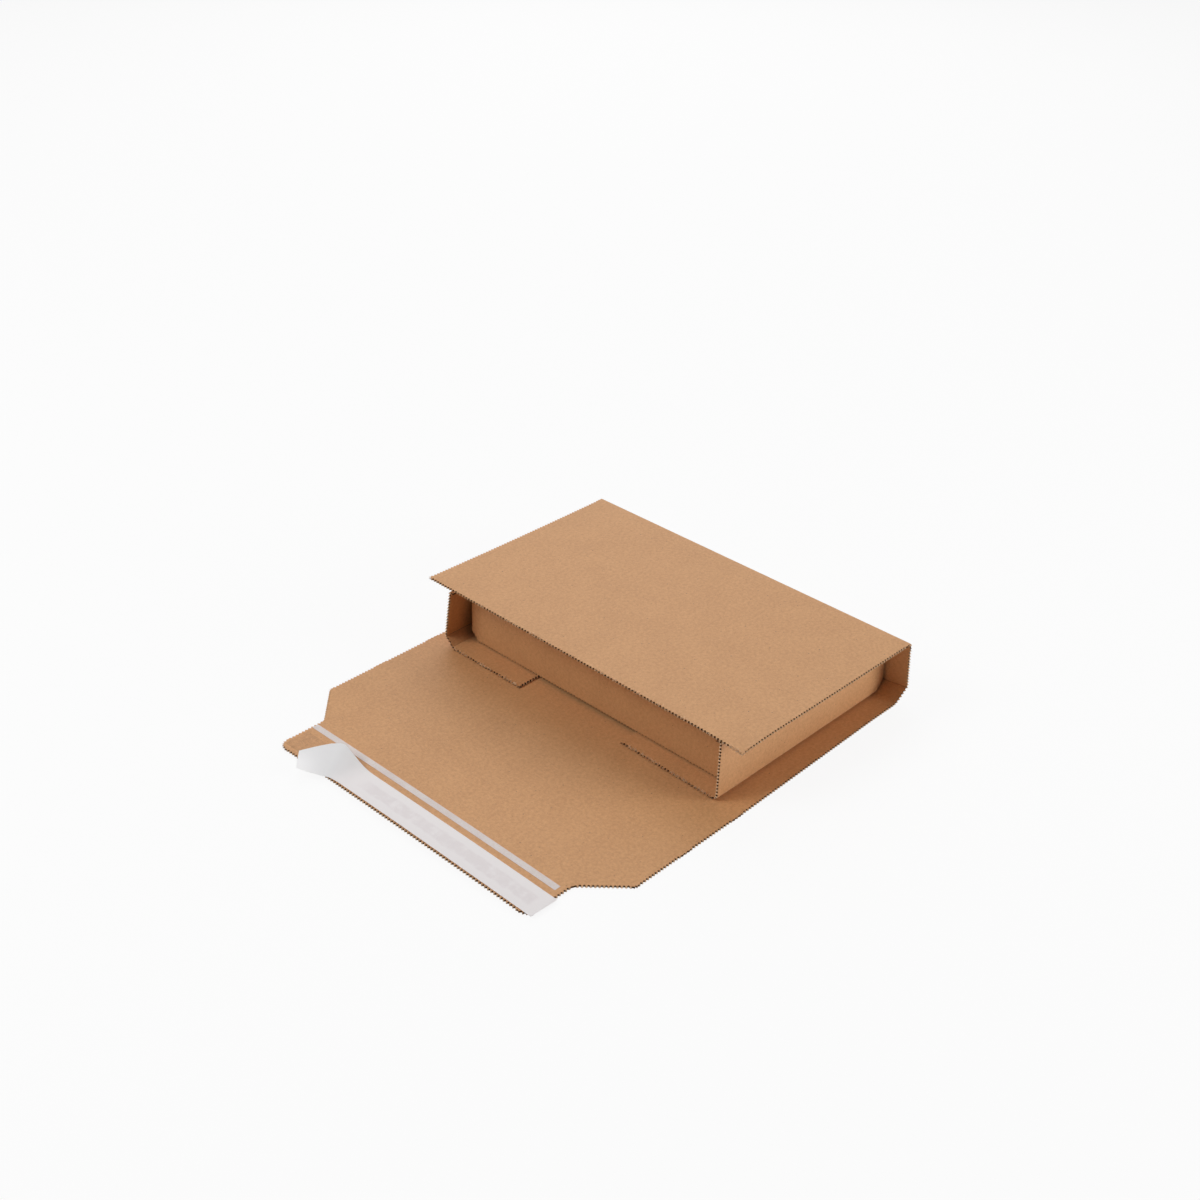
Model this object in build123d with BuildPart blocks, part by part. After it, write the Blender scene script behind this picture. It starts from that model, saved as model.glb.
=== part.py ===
from build123d import *
from math import atan, tan
import os

# Book wrap mailer of corrugated board, opened: a wrap sheet with a lid, a spine, a base and a
# closing flap, and an inner tray glued under the lid. Millimetres, +Z up. X runs along the folds,
# Y from the closing flap (-Y) to the spine (+Y). The origin is in the middle of the underside.
# A reach is a distance in front of the fold between the lid and the spine.

# Board and its zigzag cut edges
board = 1.6
crease_radius = 2.0
tooth_pitch = 2.7
tooth_depth = 0.7

# Wrap sheet
sheet_width = 292.0
lid_depth = 181.0
stack_height = 51.0
spine_foot_height = 13.0
spine_lean = 4.0
heel_run = 20.0
heel_radius = 14.0

# Closing flap, from the crease in front of the tray to the front edge of its tab
riser_gap = 1.2
closed_gap = 0.5
closing_flap_depth = 112.9
tab_depth = 40.0
shoulder_chamfer = 27.0
tab_corner_radius = 7.0

# Inner tray
tray_overhang = 19.0
ear_rear_reach = 2.4
ear_lean_left = 5.8
ear_crease_left = 8.8
ear_crease_right = 4.4
ear_foot_left = 8.5
ear_foot_right = 4.3
ear_flap_left = 71.0
ear_flap_right = 79.0
front_wall_setback = 17.8
front_wall_inset = 23.5
front_wall_mitre = 7.0
flap_rest_gap = 0.2
wall_foot_gap = 1.0
heel_clearance = 1.5

# Closure: rip tape, adhesive and the liner that covers it. A setback is the distance of a
# strip's front edge behind the front edge of the tab.
tape_thickness = 0.15
rip_tape_setback = 30.0
rip_tape_width = 5.5
rip_tape_inset_left = 2.0
rip_tape_inset_right = 5.0
adhesive_setback = 5.0
adhesive_width = 19.0
adhesive_inset = 3.0
liner_setback = 4.0
liner_width = 21.0
liner_end_lap = 3.0
liner_peel_rear = 71.0
liner_peel_front = 47.5
liner_steps = 20

# Peeled end of the liner: points that its rear and front edges pass through, as the distance in
# from the left side of the tab, the distance behind the front edge of the tab, and the height
# over the tab
liner_rear_edge = [
    (60.3, 24.6, 2.4),
    (52.9, 24.0, 7.7),
    (46.5, 23.0, 12.1),
    (41.8, 21.8, 12.8),
    (38.3, 20.0, 11.6),
    (34.1, 16.0, 9.9),
    (29.9, 11.7, 8.2),
    (20.3, 3.2, 3.6),
]
liner_front_edge = [
    (47.2, 3.9, 0.2),
    (46.9, 3.6, 0.8),
    (46.6, 3.0, 2.2),
    (46.4, 2.0, 3.6),
    (45.6, 0.4, 4.5),
    (43.9, -2.4, 5.2),
    (41.6, -5.9, 5.7),
    (36.2, -11.7, 6.1),
]

half_width = sheet_width / 2
tab_half_width = half_width - shoulder_chamfer
lid_under = stack_height - board
riser_height = lid_under + closed_gap
base_reach = lid_depth + riser_gap + riser_height + closing_flap_depth
spine_y = base_reach / 2
tab_y = spine_y - base_reach


def at_reach(reach):
    """Y of a place that lies that far in front of the spine fold."""
    return spine_y - reach


def cut_teeth(start, end, inward):
    """Cut one straight edge of a board into the zigzag that its knife leaves.

    start and end lie on the edge in the middle of the board, and inward points into the board.
    It is called inside the block of the piece.
    """
    run = Vector(*end) - Vector(*start)
    teeth = max(1, round(run.length / tooth_pitch))
    pitch = run.length / teeth
    zigzag = [(0, 0)]
    for tooth in range(teeth):
        zigzag += [((tooth + 0.5) * pitch, tooth_depth), ((tooth + 1) * pitch, 0)]
    edge = Plane(origin=start, x_dir=run, z_dir=run.cross(Vector(*inward)))
    with BuildSketch(edge.offset(-board)) as waste:
        with BuildLine():
            Polyline(*zigzag, (run.length, -board), (0, -board), close=True)
        make_face()
    extrude(waste.sketch, amount=2 * board, mode=Mode.SUBTRACT)


def cut_outline(corners, z):
    """Cut an open run of corners, anticlockwise round a flat board, into teeth."""
    for (x0, y0), (x1, y1) in zip(corners, corners[1:]):
        cut_teeth((x0, y0, z), (x1, y1, z), (y0 - y1, x1 - x0, 0))


# Places of the folds of the wrap sheet, in its YZ section
fold = Vector(spine_y, stack_height)
spine_foot = Vector(spine_y + spine_lean, spine_foot_height)
spine_up = (fold - spine_foot).normalized()
spine_in = Vector(-spine_up.Y, spine_up.X)
heel_front = Vector(spine_y + spine_lean - heel_run, 0)
heel_up = (spine_foot - heel_front).normalized()
heel_in = Vector(-heel_up.Y, heel_up.X)
mitre = (spine_in + Vector(0, -1)).normalized()
mitre_length = board / -mitre.Y
riser_crease_y = at_reach(lid_depth + riser_gap)
flap_crease_y = riser_crease_y - riser_height


# Base, heel and spine are one board, bent up at the heel.
with BuildPart() as base_sheet:
    with BuildSketch(Plane.YZ.offset(-half_width)):
        with BuildLine():
            FilletPolyline(
                (riser_crease_y, 0),
                heel_front,
                spine_foot,
                fold + spine_up * board * 2,
                radius=[heel_radius, crease_radius],
            )
            offset(amount=board, side=Side.LEFT)
        make_face()
        with BuildLine():
            Polyline(
                fold - mitre * board,
                fold + mitre * board * 3,
                fold + mitre * board * 3 + spine_up * board * 4,
                fold + spine_up * board * 4 - spine_in * board,
                close=True,
            )
        make_face(mode=Mode.SUBTRACT)
    extrude(amount=sheet_width)
    middle = board / 2
    for side in (-1, 1):
        edge_x = side * half_width
        stations = [
            Vector(riser_crease_y, middle),
            heel_front + Vector(0, middle),
            spine_foot + (spine_in + heel_in).normalized() * middle,
            fold + spine_in * middle,
        ]
        for low, high in zip(stations, stations[1:]):
            cut_teeth((edge_x, low.X, low.Y), (edge_x, high.X, high.Y), (-side, 0, 0))


# The lid is mitred against the spine, so that the fold opens without its boards meeting.
with BuildPart() as lid_panel:
    with BuildSketch(Plane.YZ.offset(-half_width)):
        with BuildLine():
            Polyline(
                (at_reach(lid_depth), lid_under),
                fold + mitre * mitre_length,
                fold,
                (at_reach(lid_depth), stack_height),
                close=True,
            )
        make_face()
    extrude(amount=sheet_width)
    cut_outline(
        [
            (-half_width, spine_y - board),
            (-half_width, at_reach(lid_depth)),
            (half_width, at_reach(lid_depth)),
            (half_width, spine_y - board),
        ],
        stack_height - board / 2,
    )


# The riser stands up in front of the tray when the mailer is closed.
with BuildPart() as front_riser:
    with BuildSketch():
        with Locations((0, (riser_crease_y + flap_crease_y) / 2)):
            Rectangle(sheet_width, riser_height)
    extrude(amount=board)
    for side in (-1, 1):
        ends = [(side * half_width, riser_crease_y), (side * half_width, flap_crease_y)]
        cut_outline(ends if side < 0 else ends[::-1], board / 2)


def rounded_corner(side):
    """Points of a front corner of the tab, from its side edge round to its front edge."""
    x = side * tab_half_width
    bulge = tab_corner_radius * (1 - 0.5**0.5)
    return [
        (x, tab_y + tab_corner_radius),
        (x - side * bulge, tab_y + bulge),
        (x - side * tab_corner_radius, tab_y),
    ]


# The closing flap narrows at two shoulders to the tab that carries the adhesive.
with BuildPart() as closing_flap:
    left_side = [
        (-half_width, flap_crease_y),
        (-half_width, tab_y + tab_depth + shoulder_chamfer),
        (-tab_half_width, tab_y + tab_depth),
    ]
    left_run = left_side + rounded_corner(-1)
    right_run = [(-x, y) for x, y in reversed(left_run)]
    with BuildSketch():
        with BuildLine():
            Polyline(*left_run, *right_run, close=True)
        make_face()
    extrude(amount=board)
    cut_outline(left_run + right_run, board / 2)


# Places of the folds of the inner tray, in its XZ section
ear_top_left = Vector(-half_width + tray_overhang, lid_under)
ear_top_right = Vector(half_width - tray_overhang, lid_under)
flap_under = board + flap_rest_gap
flap_top = flap_under + board
wall_foot_left = Vector(ear_top_left.X - ear_lean_left, ear_crease_left)
wall_foot_right = Vector(ear_top_right.X, ear_crease_right)
foot_end_left = Vector(wall_foot_left.X + ear_foot_left, flap_under)
foot_end_right = Vector(wall_foot_right.X - ear_foot_right, flap_under)
flap_end_left = foot_end_left + Vector(ear_flap_left, 0)
flap_end_right = foot_end_right - Vector(ear_flap_right, 0)

ear_front_y = at_reach(lid_depth)
ear_rear_y = at_reach(ear_rear_reach)
front_wall_y = at_reach(lid_depth - front_wall_setback)
front_wall_half = half_width - front_wall_inset
front_wall_foot = flap_top + wall_foot_gap

# The rear of the ears stays clear of the heel, whose inner face this line follows.
heel_line = heel_front + heel_in * (board + heel_clearance)
heel_slope = heel_up.Y / heel_up.X
heel_tangent = heel_radius * tan(atan(heel_slope) / 2)
flap_rear_y = heel_front.X - heel_tangent
heel_cut_y = heel_line.X + (flap_top - heel_line.Y) / heel_slope
ear_rear_corner = heel_line.Y + (ear_rear_y - heel_line.X) * heel_slope

# The inner tray hangs from the lid: a top panel, two ears with flaps, and a front wall.
with BuildPart() as inner_tray:
    with BuildSketch(Plane.XZ.offset(-ear_rear_y)):
        with BuildLine():
            FilletPolyline(
                flap_end_left,
                foot_end_left,
                wall_foot_left,
                ear_top_left,
                ear_top_right,
                wall_foot_right,
                foot_end_right,
                flap_end_right,
                radius=crease_radius,
            )
            offset(amount=board, side=Side.RIGHT)
        make_face()
    extrude(amount=ear_rear_y - ear_front_y)
    # Room for the heel of the wrap sheet
    with BuildSketch(Plane.YZ.offset(-half_width)):
        with BuildLine():
            Polyline(
                (flap_rear_y, 0),
                (flap_rear_y, flap_top),
                (heel_cut_y, flap_top),
                (ear_rear_y + board, ear_rear_corner + board * heel_slope),
                (ear_rear_y + board, 0),
                close=True,
            )
        make_face()
    extrude(amount=sheet_width, mode=Mode.SUBTRACT)
    # The front wall is cut out of the panel in front of its fold.
    with BuildSketch(Plane.XY.offset(lid_under - 2 * board)):
        with Locations((0, (ear_front_y + front_wall_y) / 2)):
            Rectangle(2 * front_wall_half, front_wall_y - ear_front_y + 2 * crease_radius)
    extrude(amount=3 * board, mode=Mode.SUBTRACT)
    with BuildSketch(Plane.YZ.offset(-front_wall_half)):
        with BuildLine():
            FilletPolyline(
                (front_wall_y, front_wall_foot),
                (front_wall_y, lid_under),
                (front_wall_y + crease_radius * 2, lid_under),
                radius=crease_radius,
            )
            offset(amount=board, side=Side.RIGHT)
        make_face()
    extrude(amount=2 * front_wall_half)
    with BuildSketch(Plane.XZ.offset(-front_wall_y - board)):
        for side in (-1, 1):
            corner_x = side * front_wall_half
            with BuildLine():
                Polyline(
                    (corner_x, front_wall_foot),
                    (corner_x, front_wall_foot + front_wall_mitre),
                    (corner_x - side * front_wall_mitre, front_wall_foot),
                    close=True,
                )
            make_face()
    extrude(amount=2 * board, mode=Mode.SUBTRACT)

    # Zigzag edges of the front wall
    wall_middle_y = front_wall_y + board / 2
    wall_run = [
        (-front_wall_half, lid_under - crease_radius),
        (-front_wall_half, front_wall_foot + front_wall_mitre),
        (-front_wall_half + front_wall_mitre, front_wall_foot),
    ]
    wall_run += [(-x, z) for x, z in reversed(wall_run)]
    for (x0, z0), (x1, z1) in zip(wall_run, wall_run[1:]):
        cut_teeth((x0, wall_middle_y, z0), (x1, wall_middle_y, z1), (z0 - z1, 0, x1 - x0))

    # Zigzag edges of the ears: front, rear and the inner end of each flap
    for side, top, wall_foot, flap_start, flap_end in (
        (-1, ear_top_left, wall_foot_left, foot_end_left, flap_end_left),
        (1, ear_top_right, wall_foot_right, foot_end_right, flap_end_right),
    ):
        middle = board / 2
        wall_top = Vector(top.X - side * middle, top.Y - crease_radius)
        wall_low = Vector(wall_foot.X - side * middle, wall_foot.Y)
        flap_out = Vector(flap_start.X, flap_start.Y + middle)
        flap_in = Vector(flap_end.X, flap_end.Y + middle)
        for high, low in ((wall_top, wall_low), (wall_low, flap_out), (flap_out, flap_in)):
            cut_teeth((high.X, ear_front_y, high.Y), (low.X, ear_front_y, low.Y), (0, 1, 0))
        cut_teeth((flap_out.X, flap_rear_y, flap_out.Y), (flap_in.X, flap_rear_y, flap_in.Y), (0, -1, 0))
        cut_teeth((wall_top.X, ear_rear_y, wall_top.Y), (wall_low.X, ear_rear_y, ear_rear_corner), (0, -1, 0))
        cut_teeth((flap_in.X, ear_front_y, flap_in.Y), (flap_in.X, flap_rear_y, flap_in.Y), (side, 0, 0))


# The rip tape lies across the tab, behind the adhesive.
with BuildPart() as rip_tape:
    rip_tape_start = rip_tape_inset_left - tab_half_width
    rip_tape_end = tab_half_width - rip_tape_inset_right
    with BuildSketch(Plane.XY.offset(board)):
        with Locations(((rip_tape_start + rip_tape_end) / 2, tab_y + rip_tape_setback + rip_tape_width / 2)):
            Rectangle(rip_tape_end - rip_tape_start, rip_tape_width)
    extrude(amount=tape_thickness)

with BuildPart() as adhesive_strip:
    with BuildSketch(Plane.XY.offset(board)):
        with Locations((0, tab_y + adhesive_setback + adhesive_width / 2)):
            Rectangle(2 * (tab_half_width - adhesive_inset), adhesive_width)
    extrude(amount=tape_thickness)


def liner_point(inset, setback, height):
    """A point of the liner, from its distance in, its setback and its height over the tab."""
    return Vector(inset - tab_half_width, tab_y + setback, board + height)


def liner_edge(points):
    """An edge of the peeled end: a smooth curve that leaves the flat part of the liner level."""
    stations = [station / (len(points) - 1) for station in range(len(points))]
    return Edge.make_spline(points, tangents=[Vector(-1, 0, 0), points[-1] - points[-2]], parameters=stations)


def liner_section(rear, front, along):
    """A cut across the liner between a point of its rear edge and one of its front edge."""
    up = along.cross(front - rear).normalized() * tape_thickness
    return Face(Wire.make_polygon([rear, front, front + up, rear + up]))


# The liner lies on the adhesive, and its left end is peeled up and turned over the tab's edge.
liner_bed = tape_thickness
peel_rear = liner_point(liner_peel_rear, liner_setback + liner_width, liner_bed)
peel_front = liner_point(liner_peel_front, liner_setback, liner_bed)
rear_edge = liner_edge([peel_rear] + [liner_point(*point) for point in liner_rear_edge])
front_edge = liner_edge([peel_front] + [liner_point(*point) for point in liner_front_edge])

with BuildPart() as release_liner:
    with BuildSketch(Plane.XY.offset(board + liner_bed)):
        with BuildLine():
            Polyline(
                (peel_rear.X, peel_rear.Y),
                (peel_front.X, peel_front.Y),
                (tab_half_width + liner_end_lap, peel_front.Y),
                (tab_half_width + liner_end_lap, peel_rear.Y),
                close=True,
            )
        make_face()
    extrude(amount=tape_thickness)
    sections = [liner_section(peel_rear, peel_front, Vector(-1, 0, 0))]
    for step in range(1, liner_steps + 1):
        place = step / liner_steps
        along = rear_edge % place + front_edge % place
        sections.append(liner_section(rear_edge @ place, front_edge @ place, along))
    loft(sections, ruled=True)


os.makedirs("parts", exist_ok=True)
pieces = {
    "base_sheet": base_sheet,
    "lid_panel": lid_panel,
    "front_riser": front_riser,
    "closing_flap": closing_flap,
    "inner_tray": inner_tray,
    "rip_tape": rip_tape,
    "adhesive_strip": adhesive_strip,
    "release_liner": release_liner,
}
for name, piece in pieces.items():
    piece.part.label = name
    export_step(piece.part, f"parts/{name}.step")
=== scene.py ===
import random
from math import atan2, ceil, cos, pi, prod, radians, sin, tan

import bmesh
import bpy
from mathutils import Matrix, Vector


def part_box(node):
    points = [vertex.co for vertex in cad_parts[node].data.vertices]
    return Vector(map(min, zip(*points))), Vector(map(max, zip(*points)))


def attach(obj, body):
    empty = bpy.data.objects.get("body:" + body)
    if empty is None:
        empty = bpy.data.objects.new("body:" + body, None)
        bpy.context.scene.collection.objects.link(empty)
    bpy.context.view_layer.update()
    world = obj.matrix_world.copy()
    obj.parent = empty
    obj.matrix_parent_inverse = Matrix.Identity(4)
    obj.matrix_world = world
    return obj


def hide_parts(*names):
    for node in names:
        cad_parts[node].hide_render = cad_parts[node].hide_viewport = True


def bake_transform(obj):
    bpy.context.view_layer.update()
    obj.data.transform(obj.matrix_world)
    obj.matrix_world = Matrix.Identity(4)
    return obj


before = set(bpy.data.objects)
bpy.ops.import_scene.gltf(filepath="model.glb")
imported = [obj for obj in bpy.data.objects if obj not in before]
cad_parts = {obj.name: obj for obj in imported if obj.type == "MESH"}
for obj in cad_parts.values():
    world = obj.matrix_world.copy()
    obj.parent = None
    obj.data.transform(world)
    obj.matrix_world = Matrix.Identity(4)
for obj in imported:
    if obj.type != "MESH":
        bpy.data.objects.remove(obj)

bl_info = {
    "name": "Book wrap mailer",
    "version": (1, 0, 0),
    "blender": (4, 5, 0),
    "location": "View3D > Sidebar > Mailer",
    "description": "Corrugated boards, tapes and liner of an opened book wrap mailer",
    "category": "Object",
}

MM = 0.001
# Points nearer than this become one, in an outline and in a slab
WELD = 1e-6
SEAM = 1e-7
# Least distance from a cut across a board to its ends
CUT_ROOM = 0.01 * MM

FOLD_RADIUS = 2 * MM
SPINE_RADIUS = 1.8 * MM
# Turn from one point of a bend to the next, and how near to the bend the straight has a point
BEND_STEP = radians(6)
NEAR_BEND = 0.1 * MM
# A bend shorter than this is a sharp fold, with the rubbed look outside and painted shade inside
SHARP_BEND = 5 * MM
# Distance between the cuts across a fold piece
FOLD_STEP = 0.5 * MM
# Spans that a bowed board is cut into, each way
BOW_SPANS = 18

# How far the fluted paper ends inside the outline
INSET = 1 * MM
# Points along each flute, and its swing as a share of the room between the facings
FLUTE_STEPS = 8
FLUTE_SWING = 0.49
# Depth that the first and the last cut of an edge keep
END_CUT = 0.5
# Half the size of a crushed tip as shares of a tooth, and how far it stands back from the cut
TIP_DEPTH = 0.28
TIP_WIDTH = 0.23
TIP_BACK = 0.04 * MM

TAB_CORNER = 7 * MM
SHOULDER_CORNER = 2 * MM
# Right ear's rear end: how much further back its top is, and how far above its knee it reaches
# back the most
EAR_STEP = 1.1 * MM
EAR_RUN = 8 * MM
# Share of the lid's depth, from the spine, along which the base's margin is fully curled up
FULL_CURL = 0.2
# How far the bend in the lid's front right corner reaches
DROOP_REACH = 40 * MM

# Room under the adhesive. The tear tape and the release paper have twice as much
STUCK_GAP = 0.01 * MM
TAPE_SPANS = 60
ADHESIVE_SPANS = 8
THREAD_STEPS = 6
# Two waves that make the release paper's ripples: rate along it in 1/m, rate across it, start
RIPPLES = ((95, 2.1, 0), (41, 5, 1))

FIBRE_LENGTH = 1.4 * MM
FIBRE_THICKNESS = 0.4 * MM
# Furthest turn of a fibre about each axis, and its least and most growth
FIBRE_TURN = (radians(10), radians(65), 0)
FIBRE_GROWTH = (0.3, 1.5)
# Where fibres start: shares of the tooth depth behind the edge, and of the board's thickness
FIBRE_START = (0.3, 0.9)
FIBRE_RISE = (0.2, 1)
FIBRE_SEED = 3
TUFT_SEED = 4

# How much further apart the two facings are for the shaders, so that they differ in grain
THROUGH = 12.0
# Where the crushed front right corner of the lid begins, along the path and along the flutes
CRUSHED_CORNER = (562 * MM, -133 * MM)
CRUSHED_EDGE = 4 * MM
# Soft ends of the band where the release paper lies on the adhesive, along and across it
STUCK_ALONG = ((0.168, 0.155), (0.007, 0.011))
STUCK_ACROSS = ((0.24, 0.34), (0.76, 0.66))
# Soft start of the painted light on the peeled end of the release paper, along it
PEELED_LIGHT_ALONG = (0.17, 0.2)

DARK_FLECK = (0.16, 0.075, 0.035)
DARK_SPECK = (0.12, 0.06, 0.03)
PALE_FLECK = (0.75, 0.55, 0.38)
# Painted shade for the inner side of sharp folds
PAINTED_CREASE_SHADE = (0.2, 0.09, 0.035)
RUBBED_CREASE = (0.78, 0.52, 0.32)
LINER_FIBRE = (0.7, 0.66, 0.65)
# Painted light: the whiter colour of the release paper's peeled end
PEELED_PAINTED_LIGHT = (0.95, 0.94, 0.945)
FLOOR_PAPER = (0.85, 0.85, 0.85, 1)
WHITE = (1, 1, 1, 1)

# Ways that the flutes of the boards point
WRAP_FLUTES = (-1, 0, 0)
TRAY_FLUTES = (0, -1, 0)
WALL_FLUTES = (1, 0, 0)

# Round lamps that point at the middle: name, place, diameter and power
LAMPS = (
    ("top", (0.1, 0.0, 1.6), 1.6, 3.4),
    ("back", (-1.2, 1.3, 1.4), 2.4, 24.0),
    ("side", (1.5, 0.9, 0.5), 1.0, 16.0),
    ("front", (-0.78, -1.25, 1.4), 1.0, 17.0),
)
STUDIO_GLOW = 0.09
FLOOR_HALF = 3.0
FLOOR_SPANS = 8
# Part of the object's shadow that the camera sees on the floor
SHADOW_KEPT = 0.1

# The photograph's camera: sizes in pixels of the square frame, place in metres
PHOTO_WIDTH = 1200
FOCAL_LENGTH = 1704.57
PHOTO_CENTRE = (549.48, 605.21)
CAMERA_PLACE = (0.6539, -0.7057, 0.6853)
AZIMUTH, ELEVATION, ROLL = radians(44.27), radians(31.742), radians(0.948)

# Outer corners of the boards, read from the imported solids
_, sheet_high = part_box("base_sheet")
flap_low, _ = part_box("closing_flap")
riser_low, riser_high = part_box("front_riser")
lid_low, lid_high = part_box("lid_panel")
tray_low, tray_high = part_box("inner_tray")


def mm(name, description, default, low=None):
    """A length that a user can change, with its default and least value in millimetres."""
    limit = {} if low is None else {"min": low * MM}
    return bpy.props.FloatProperty(
        name=name, description=description, default=default * MM, unit="LENGTH", **limit)


def tint(name, description, default):
    """A colour that a user can change."""
    return bpy.props.FloatVectorProperty(
        name=name, description=description, default=default,
        subtype="COLOR", size=3, min=0, max=1)


class MailerSizes(bpy.types.PropertyGroup):
    """Sizes of the corrugated board and of its cut edges."""

    board: mm("Board", "Thickness of the corrugated board", 1.6, 0.5)
    facing: mm("Facing", "Thickness of the flat paper on each side of the board", 0.24, 0.05)
    medium: mm("Fluted paper", "Thickness of the fluted paper inside the board", 0.2, 0.05)
    flute_pitch: mm("Flute pitch", "Distance from one flute to the next", 3.2, 1)
    tooth_pitch: mm("Tooth pitch", "Distance between the teeth of the cut edges", 2.7, 0.5)
    tooth_depth: mm("Tooth depth", "Depth of the teeth of the cut edges", 1.5, 0)
    crease_reach: mm("Crease reach", "How far a moving fold bends the board to each side", 3, 1)
    heel_run: mm(
        "Heel run", "How far the base rises over the table in front of the spine", 12, 5)
    heel_radius: mm(
        "Heel radius", "Radius of the soft bend where the base leaves the table", 12, 1)
    spine_foot: mm("Spine foot", "Height of the fold at the foot of the spine", 9.5, 2)
    spine_lean: mm(
        "Spine lean", "How far the foot of the spine stands out behind its top", 4, 0)
    tab_depth: mm("Tab depth", "Depth of the tab at the front of the closing flap", 40, 5)
    shoulder: mm("Shoulder", "Width and depth of the slanted shoulders beside the tab", 27, 1)
    tab_front: mm(
        "Trimmed front", "How much of the tab's front edge the knife took off", 0.8, 0)
    flap_bow: mm(
        "Flap bow", "How far the middle of the closing flap bows up at its front", 1.5, 0)
    margin_lift: mm(
        "Margin lift", "How far the base curls up at its right edge near the spine", 4, 0)
    lid_lift_left: mm(
        "Lid lift, left", "How far the lid's front left corner stands off the tray", 2.4, 0)
    lid_lift_right: mm(
        "Lid lift, right", "How far the lid's front right corner stands off the tray", 1, 0)
    lid_skew: mm("Lid skew", "How far the lid's front edge has moved to the left", 1)
    lid_droop: mm("Lid droop", "How far the lid's front right corner is bent down", 1.8, 0)
    lid_front: mm(
        "Lid front", "How far the lid reaches past the middle of its front cut", 1.1, 0)


class TraySizes(bpy.types.PropertyGroup):
    """Section of the inner tray, across the sheet from its middle, and its notches."""

    left_flap_end: mm("Left flap end", "Where the flap under the left ear ends", -53.3)
    left_foot: mm("Left foot", "Where the left ear meets its flap", -124.3)
    left_knee: mm("Left knee", "Height of the crease low in the left ear", 8.8, 2)
    left_top: mm("Left top", "Where the left ear meets the top panel", -127)
    right_knee: mm("Right knee", "Height of the crease low in the right ear", 4.4, 2)
    right_foot: mm("Right foot", "Where the right ear meets its flap", 122.7)
    right_flap_end: mm("Right flap end", "Where the flap under the right ear ends", 40)
    left_flap_front: mm(
        "Left flap front", "How far the left flap reaches past the ears' front edges", 1.1)
    right_flap_slant: mm(
        "Right flap slant", "How far the right flap's front edge recedes to its end", 2.2)
    wall_half: mm("Wall half width", "Half the width of the recessed front wall", 122.5)
    wall_face: mm(
        "Wall face", "Place of the front wall's face, from the ears' rear to front", 9.3)
    wall_fold: mm("Wall fold", "Where the front wall joins the top panel", 13.3)
    wall_foot: mm("Wall foot", "Height of the gap under the front wall", 3.8, 1)
    wall_mitre: mm("Wall mitre", "Slanted corners at the foot of the front wall", 7, 0)
    flap_rear: mm("Flap rear", "Rear end of the flaps under the ears", 157)
    foot_rear: mm("Foot rear", "Rear end of the ears at their feet", 163)
    knee_rear: mm("Knee rear", "Rear end of the right ear at its knee", 167.2)
    ear_rear: mm("Ear rear", "Rear end of the right ear where it reaches back the most", 173.2)
    rear_rise: mm("Rear rise", "Length of the slant at the right ear's knee", 3.4, 0)


class TapeSizes(bpy.types.PropertyGroup):
    """Places of the tapes, from the spine fold towards the front."""

    tear_rear: mm("Tear tape rear", "Rear edge of the tear tape", 310.95)
    tear_width: mm("Tear tape width", "Width of the tear tape", 4.9, 1)
    tear_left: mm(
        "Tear tape left", "Left end of the tear tape, from the sheet's left side", 28.4)
    tear_right: mm(
        "Tear tape right", "Right end of the tear tape, from the sheet's left side", 260.1)
    tear_thickness: mm(
        "Tear tape thickness", "Thickness of the tear tape between its ribs", 0.08, 0.02)
    rib_pitch: mm("Rib pitch", "Distance between the threads inside the tear tape", 0.7, 0.2)
    rib_height: mm("Rib height", "Height of the threads inside the tear tape", 0.07, 0)
    liner_thickness: mm("Liner thickness", "Thickness of the release paper", 0.12, 0.02)
    liner_ripple: mm(
        "Liner ripple", "Height of the shallow ripples in the release paper", 0.12, 0)


class MailerColours(bpy.types.PropertyGroup):
    """Colours of the papers and tapes."""

    kraft: tint("Kraft", "Natural brown of the board's facings", (0.65, 0.335, 0.138))
    # The fluted paper's dark default is partly painted shade for the hollows of the cut edges
    flute: tint(
        "Fluted paper", "Darker brown of the fluted paper and the cut edges", (0.09, 0.042, 0.02))
    release: tint("Release paper", "White of the paper over the adhesive", (0.88, 0.84, 0.84))
    glue: tint("Adhesive", "Tint of the clear adhesive", (0.5, 0.3, 0.16))
    fibre: tint(
        "Torn fibres", "Pale brown of the fibres that the knife tore out", (0.95, 0.67, 0.42))
    tape: tint("Tear tape", "Milky colour of the tear tape", (0.82, 0.75, 0.73))


def sizes():
    return bpy.context.scene.mailer_sizes


def tray_sizes():
    return bpy.context.scene.tray_sizes


def tape_sizes():
    return bpy.context.scene.tape_sizes


def colours():
    return bpy.context.scene.mailer_colours


def clamp(value):
    """The value, held between 0 and 1."""
    return min(max(value, 0), 1)


def flap_bow(place):
    """How far the closing flap, and what lies on it, stands off the table there."""
    along = clamp((riser_low.y - place.y) / (riser_low.y - flap_low.y))
    across = max(1 - (place.x / sheet_high.x) ** 2, 0)
    return Vector((0, 0, sizes().flap_bow * across * sin(along * pi / 2)))


def margin_lift(place):
    """How far the base curls up beside the right ear, most of all near the spine."""
    ear = tray_high.x - FOLD_RADIUS * 2
    across = max(place.x - ear, 0) / (sheet_high.x - ear)
    reach = (lid_high.y - place.y) / (lid_high.y - lid_low.y)
    along = 1 - clamp((reach - FULL_CURL) / (1 - FULL_CURL))
    height = 1 - clamp(place.z / lid_high.z)
    return Vector((0, 0, sizes().margin_lift * across * along * height))


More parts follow.
